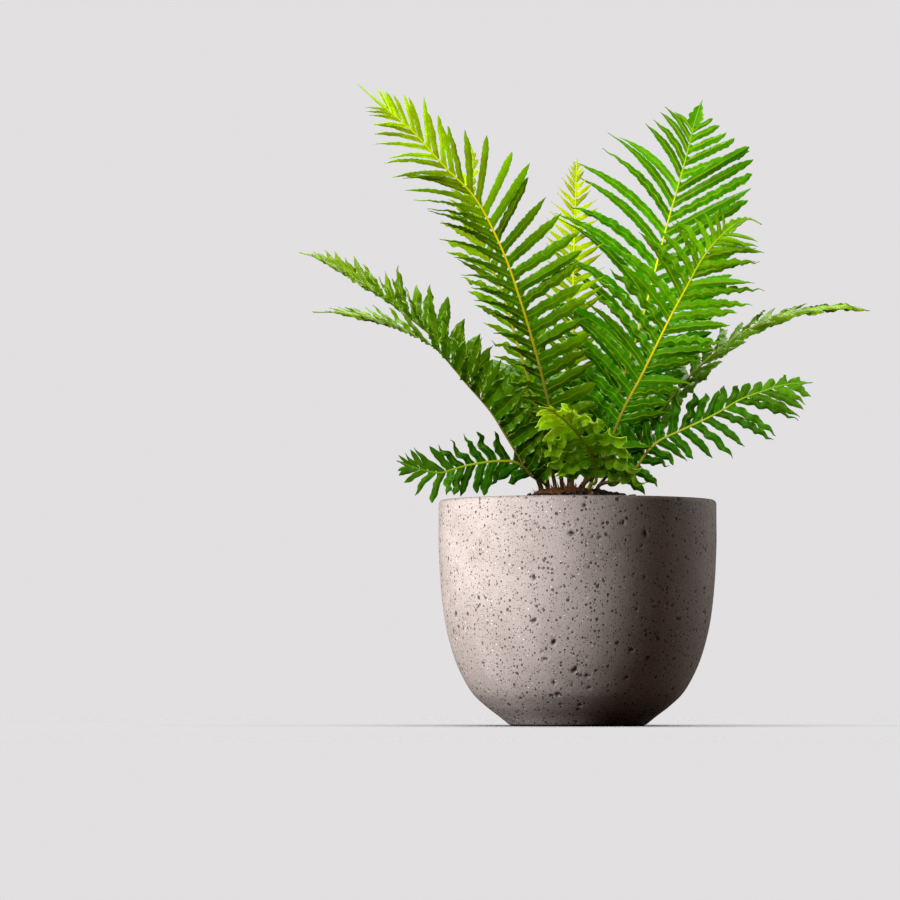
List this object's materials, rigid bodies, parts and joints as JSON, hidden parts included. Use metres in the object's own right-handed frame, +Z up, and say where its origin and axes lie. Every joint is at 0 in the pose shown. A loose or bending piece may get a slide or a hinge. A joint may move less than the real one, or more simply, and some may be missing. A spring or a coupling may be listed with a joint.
{
  "type": "potted silver lady fern",
  "caption": "Small fern with a rosette of arching, feather-shaped fronds of wavy leaflets, growing from a scaly crown in the soil of a round cast stone bowl pot.",
  "frame": {"origin": "centre of the pot's flat foot", "axes": "+Z up through the pot's axis; +X to the right and -Y towards the viewer, seen from the front"},
  "size_m": [0.4192, 0.2785, 0.4581],
  "materials": {
    "cast_stone": "matt cast stone, warm grey, with open pores",
    "potting_mix": "damp peat and bark, matt",
    "rootstock": "dry brown scales, matt",
    "deep_leaf": "waxy dark green leaf, satin",
    "fresh_leaf": "waxy mid green leaf, satin",
    "olive_leaf": "leaf underside, olive green, matt",
    "young_leaf": "young yellow-green leaf, satin"
  },
  "bodies": {
    "root": {"pot": "cast_stone", "soil": "potting_mix", "crown": "rootstock", "frond_left_tall": "deep_leaf", "frond_left_inner": "fresh_leaf", "frond_left_arching": "fresh_leaf", "frond_left_front": "olive_leaf", "frond_left_low": "deep_leaf", "frond_centre_young": "young_leaf", "frond_right_tall": "fresh_leaf", "frond_right_front": "fresh_leaf", "frond_right_arching": "olive_leaf", "frond_right_low": "deep_leaf", "frond_front_small": "fresh_leaf", "frond_back_right": "deep_leaf", "frond_back_middle": "fresh_leaf", "frond_back_left": "deep_leaf"}
  },
  "joints": []
}
